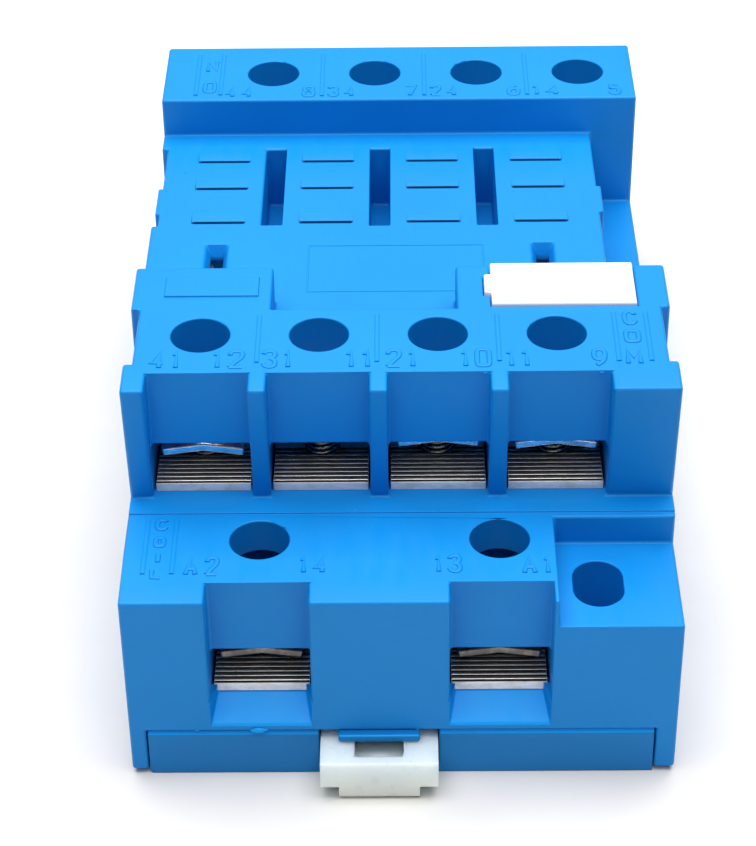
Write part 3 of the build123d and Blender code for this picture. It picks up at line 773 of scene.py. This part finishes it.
# Width of a 1 beside that of other letters, and the gap between letters
NARROW = 0.42
GAP = 0.34

# Crumbs of flash: X, Y, Z and size in millimetres
CRUMBS = [
    (-12.1, -41.1, 4.95, 1.0), (-17.3, -41.05, 4.9, 0.25), (-22.85, -41.0, 8.6, 0.35),
    (1.2, -41.05, 4.9, 0.25), (-20.5, 12.0, 27.68, 0.35), (-3.9, -29.4, 19.2, 0.22),
    (7.0, -26.7, 31.4, 0.22), (16.6, -26.75, 31.4, 0.25),
]
# Stretch of a crumb along each axis, how uneven it is, and how fine its unevenness
CRUMB_STRETCH = Vector((1.4, 0.4, 0.5))
CRUMB_UNEVEN = 0.6
CRUMB_DETAIL = 3000

# Letters as pen strokes in a square cell; "bend" strokes are smooth, "ring" ones closed
STROKES = {
    "0": [("ring", (0.5, 0), (0, 0), (0, 0.5), (0, 1), (0.5, 1), (1, 1), (1, 0.5), (1, 0))],
    "1": [("line", (0, 0.72), (1, 1), (1, 0))],
    "2": [("bend", (0, 0.74), (0.02, 1), (0.98, 1), (1, 0.62), (0.55, 0.38), (0, 0)),
          ("line", (0, 0), (1, 0))],
    "3": [("bend", (0, 0.80), (0.1, 1), (0.95, 1), (0.98, 0.56), (0.42, 0.54)),
          ("bend", (0.42, 0.54), (1, 0.52), (1, 0), (0.1, 0), (0, 0.22))],
    "4": [("line", (0.74, 0), (0.74, 1), (0, 0.28), (1, 0.28))],
    "5": [("line", (0.95, 1), (0.14, 1), (0.06, 0.54)),
          ("bend", (0.06, 0.54), (0.5, 0.72), (1, 0.6), (1, 0), (0.1, 0), (0, 0.2))],
    "6": [("bend", (0.8, 1), (0.3, 0.86), (0, 0.5), (0, 0), (0.9, 0), (1, 0.32), (0.9, 0.64),
           (0.3, 0.64), (0, 0.34))],
    "7": [("line", (0, 1), (1, 1), (0.36, 0))],
    "8": [("ring", (0.5, 0), (0, 0), (0, 0.54), (0.5, 0.54), (1, 0.54), (1, 0)),
          ("ring", (0.5, 0.54), (0.06, 0.54), (0.06, 1), (0.5, 1), (0.94, 1), (0.94, 0.54))],
    "9": [("bend", (0.2, 0), (0.7, 0.14), (1, 0.5), (1, 1), (0.1, 1), (0, 0.68), (0.1, 0.36),
           (0.7, 0.36), (1, 0.66))],
    "A": [("line", (0, 0), (0.5, 1), (1, 0)), ("line", (0.2, 0.34), (0.8, 0.34))],
    "C": [("bend", (1, 0.76), (0.9, 1), (0, 1), (0, 0), (0.9, 0), (1, 0.24))],
    "I": [("line", (0.5, 1), (0.5, 0))],
    "L": [("line", (0, 1), (0, 0), (1, 0))],
    "M": [("line", (0, 0), (0, 1), (0.5, 0.4), (1, 1), (1, 0))],
    "N": [("line", (0, 0), (0, 1), (1, 0), (1, 1))],
    "O": [("ring", (0.5, 0), (0, 0), (0, 0.5), (0, 1), (0.5, 1), (1, 1), (1, 0.5), (1, 0))],
}


def deck_level(near):
    """Height of the deck that a mark lies on, by how far back it starts."""
    return UPPER_DECK if near > -30 else LOWER_DECK


def pen_stroke(curve, kind, points, cell):
    """Add one stroke of a letter, stretched to its cell."""
    left, right, near, far = cell
    spline = curve.splines.new("POLY" if kind == "line" else "NURBS")
    spline.points.add(len(points) - 1)
    for point, (u, v) in zip(spline.points, points):
        point.co = ((left + u * (right - left)) * MM, (near + v * (far - near)) * MM, 0, 1)
    if kind != "line":
        spline.order_u = 3
        spline.use_endpoint_u = kind == "bend"
        spline.use_cyclic_u = kind == "ring"
        spline.resolution_u = 3


class SOCKET_OT_add_lettering(bpy.types.Operator):
    """Raise the terminal numbers and the words beside them on the decks"""

    bl_idname = "socket.add_lettering"
    bl_label = "Lettering"

    def execute(self, context):
        marks = context.scene.socket_marks
        pen = marks.pen_width / 2
        for i, (words, left, right, near, far) in enumerate(DECK_WORDS):
            curve = bpy.data.curves.new("letter", "CURVE")
            curve.dimensions = "3D"
            curve.bevel_depth = pen
            curve.bevel_resolution = 2
            curve.use_fill_caps = True
            widths = [NARROW if letter == "1" else 1.0 for letter in words]
            unit = (right - left) / (sum(widths) + GAP * (len(words) - 1))
            edge, start = pen / MM, left
            for letter, share in zip(words, widths):
                cell = (start + edge, max(start + edge, start + share * unit - edge),
                        near + edge, far - edge)
                start += (share + GAP) * unit
                for kind, *points in STROKES[letter]:
                    pen_stroke(curve, kind, points, cell)
            text = bpy.data.objects.new("letter", curve)
            context.scene.collection.objects.link(text)
            context.view_layer.update()
            graph = context.evaluated_depsgraph_get()
            mesh = bpy.data.meshes.new_from_object(text.evaluated_get(graph))
            bpy.data.objects.remove(text)
            for v in mesh.vertices:
                v.co.z = deck_level(near) * MM + v.co.z * marks.relief / pen
            bm = bmesh.new()
            bm.from_mesh(mesh)
            new_piece("deck_mark_%02d" % (i + 1), bm, housing_finish(), "socket_body",
                      True)
        return {"FINISHED"}


def ribbon(bm, x, near, far, level, width, relief):
    """Add one low rounded rib along Y, with its foot in the deck."""
    half = width / 2
    profile = [(-half, -FOOT), (-half, relief * 0.5), (-half * 0.5, relief),
               (half * 0.5, relief), (half, relief * 0.5), (half, -FOOT)]
    ends = []
    for y in (near * MM, far * MM):
        ends.append([bm.verts.new((x * MM + dx, y, level * MM + dz)) for dx, dz in profile])
    for a, b in zip(range(len(profile) - 1), range(1, len(profile))):
        bm.faces.new((ends[0][a], ends[0][b], ends[1][b], ends[1][a]))
    bm.faces.new(list(reversed(ends[0])))
    bm.faces.new(ends[1])


def faint_frame(bm, box, level, width, relief):
    """Add a low raised line round a rectangle."""
    left, right, near, far = (value * MM for value in box)
    corners = ((left, -1, near, -1), (right, 1, near, -1), (right, 1, far, 1), (left, -1, far, 1))
    rings = []
    for share, rise in ((-0.5, -FOOT), (-0.2, relief), (0.2, relief), (0.5, -FOOT)):
        out = share * width
        rings.append([bm.verts.new((x + sx * out, y + sy * out, level + rise))
                      for x, sx, y, sy in corners])
    for inner, outer in zip(rings, rings[1:]):
        for k in range(4):
            j = (k + 1) % 4
            bm.faces.new((inner[k], outer[k], outer[j], inner[j]))


class SOCKET_OT_add_ribs(bpy.types.Operator):
    """Raise the thin ribs that part the terminals and frame the words"""

    bl_idname = "socket.add_ribs"
    bl_label = "Deck ribs"

    def execute(self, context):
        marks = context.scene.socket_marks
        bm = bmesh.new()
        for x, near, far in DECK_RIBS:
            ribbon(bm, x, near, far, deck_level(near), marks.rib_width, marks.relief)
        faint_frame(bm, SEAT_FRAME, SEAT, marks.rib_width * 0.7, marks.relief * 0.5)
        bmesh.ops.recalc_face_normals(bm, faces=bm.faces)
        new_piece("deck_ribs", bm, housing_finish(), "socket_body")
        return {"FINISHED"}


class SOCKET_OT_add_mould_faults(bpy.types.Operator):
    """Leave the little crumbs of flash that the mould left along edges and seams"""

    bl_idname = "socket.add_mould_faults"
    bl_label = "Moulding faults"

    def execute(self, context):
        bm = bmesh.new()
        for x, y, z, size in CRUMBS:
            made = bmesh.ops.create_icosphere(bm, subdivisions=2, radius=size * MM / 2)
            place = Vector((x, y, z))
            for v in made["verts"]:
                wobble = 1 + CRUMB_UNEVEN * noise.noise(v.co * CRUMB_DETAIL + place)
                v.co = v.co * CRUMB_STRETCH * wobble + place * MM
        # The crumbs take the same lighter blue that paints light on the ledges
        new_piece("mould_crumbs", bm, painted_light_finish(), "socket_body", True)
        return {"FINISHED"}


# Studio


# Half the width of the floor, and how far it lies below the part to keep clear of it
FLOOR_HALF = 3.0
FLOOR_DROP = 0.02 * MM
# Lights: name, setting that holds the power, place, size and colour
LIGHTS = (
    ("overhead", "key_power", (0.0, 0.06, 0.55), (0.70, 0.55), (1.0, 0.99, 0.97)),
    ("rear_panel", "back_power", (0.0, 0.85, 0.66), (1.10, 0.60), (1.0, 1.0, 1.0)),
    ("front_fill", "fill_power", (0.0, -0.42, 0.62), (0.60, 0.40), (1.0, 1.0, 1.0)),
)
# Point that the lights face, and the colour of the light from all round
AIM = Vector((0, 0, 15 * MM))
SKY_TONE = (0.90, 0.95, 1.0, 1)


def camera_turn(pitch, yaw, roll):
    """Rotation of a camera that looks along Y, then down, to the right and leaning."""
    ahead = Vector((math.sin(yaw) * math.cos(pitch), math.cos(yaw) * math.cos(pitch),
                    -math.sin(pitch)))
    across = Vector((math.cos(yaw), -math.sin(yaw), 0))
    down = ahead.cross(across)
    side = across * math.cos(roll) + down * math.sin(roll)
    below = -across * math.sin(roll) + down * math.cos(roll)
    return Matrix((side, -below, -ahead)).transposed().to_4x4()


class SOCKET_OT_set_stage(bpy.types.Operator):
    """Lay the pale floor and set the soft lights and the camera"""

    bl_idname = "socket.set_stage"
    bl_label = "Studio"

    def execute(self, context):
        scene, stage = context.scene, context.scene.socket_stage
        bm = bmesh.new()
        bmesh.ops.create_grid(bm, x_segments=40, y_segments=40, size=FLOOR_HALF)
        for v in bm.verts:
            v.co.z = -FLOOR_DROP
        mesh = bpy.data.meshes.new("floor")
        bm.to_mesh(mesh)
        bm.free()
        mesh.materials.append(finish_of("floor_paper", pale_floor, tuple(stage.floor_tone)))
        floor = bpy.data.objects.new("floor", mesh)
        scene.collection.objects.link(floor)

        for name, power, place, size, tone in LIGHTS:
            light = bpy.data.lights.new(name, "AREA")
            light.shape = "RECTANGLE"
            light.size, light.size_y = size
            light.energy = getattr(stage, power)
            light.color = tone
            lamp = bpy.data.objects.new(name, light)
            lamp.location = place
            lamp.rotation_euler = (AIM - Vector(place)).to_track_quat("-Z", "Y").to_euler()
            scene.collection.objects.link(lamp)

        world = bpy.data.worlds.new("room")
        world.use_nodes = True
        background = world.node_tree.nodes["Background"]
        background.inputs["Color"].default_value = SKY_TONE
        background.inputs["Strength"].default_value = stage.sky
        scene.world = world
        scene.view_settings.view_transform = "Standard"
        scene.view_settings.look = "None"

        data = bpy.data.cameras.new("camera")
        data.sensor_width = 36
        data.lens = stage.lens
        data.clip_start = 0.01
        camera = bpy.data.objects.new("camera", data)
        camera.matrix_world = (Matrix.Translation(stage.eye) @
                               camera_turn(stage.pitch, stage.yaw, stage.roll))
        scene.collection.objects.link(camera)
        scene.camera = camera
        return {"FINISHED"}


# Panel and registration


STEPS = (
    SOCKET_OT_set_stage,
    SOCKET_OT_dress_housing,
    SOCKET_OT_dress_base_plate,
    SOCKET_OT_dress_rail_clip,
    SOCKET_OT_dress_marker_tag,
    SOCKET_OT_dress_contacts,
    SOCKET_OT_dress_clamps,
    SOCKET_OT_dress_screws,
    SOCKET_OT_add_lettering,
    SOCKET_OT_add_ribs,
    SOCKET_OT_add_mould_faults,
)

GROUPS = (
    ("socket_plastic", PlasticSettings),
    ("socket_metal", MetalSettings),
    ("socket_marks", MarkSettings),
    ("socket_stage", StageSettings),
)


class SOCKET_PT_finishes(bpy.types.Panel):
    """Settings and steps of the relay socket"""

    bl_label = "Relay Socket"
    bl_idname = "SOCKET_PT_finishes"
    bl_space_type = "VIEW_3D"
    bl_region_type = "UI"
    bl_category = "Relay Socket"

    def draw(self, context):
        for key, group in GROUPS:
            box = self.layout.box()
            box.label(text=group.__doc__)
            for name in group.__annotations__:
                box.prop(getattr(context.scene, key), name)
        column = self.layout.column()
        for step in STEPS:
            column.operator(step.bl_idname)


def register():
    for key, group in GROUPS:
        bpy.utils.register_class(group)
        setattr(bpy.types.Scene, key, bpy.props.PointerProperty(type=group))
    for step in STEPS:
        bpy.utils.register_class(step)
    bpy.utils.register_class(SOCKET_PT_finishes)


def unregister():
    bpy.utils.unregister_class(SOCKET_PT_finishes)
    for step in reversed(STEPS):
        bpy.utils.unregister_class(step)
    for key, group in reversed(GROUPS):
        delattr(bpy.types.Scene, key)
        bpy.utils.unregister_class(group)


def main():
    register()
    for step in STEPS:
        area, action = step.bl_idname.split(".")
        getattr(getattr(bpy.ops, area), action)()


if __name__ == "__main__":
    main()
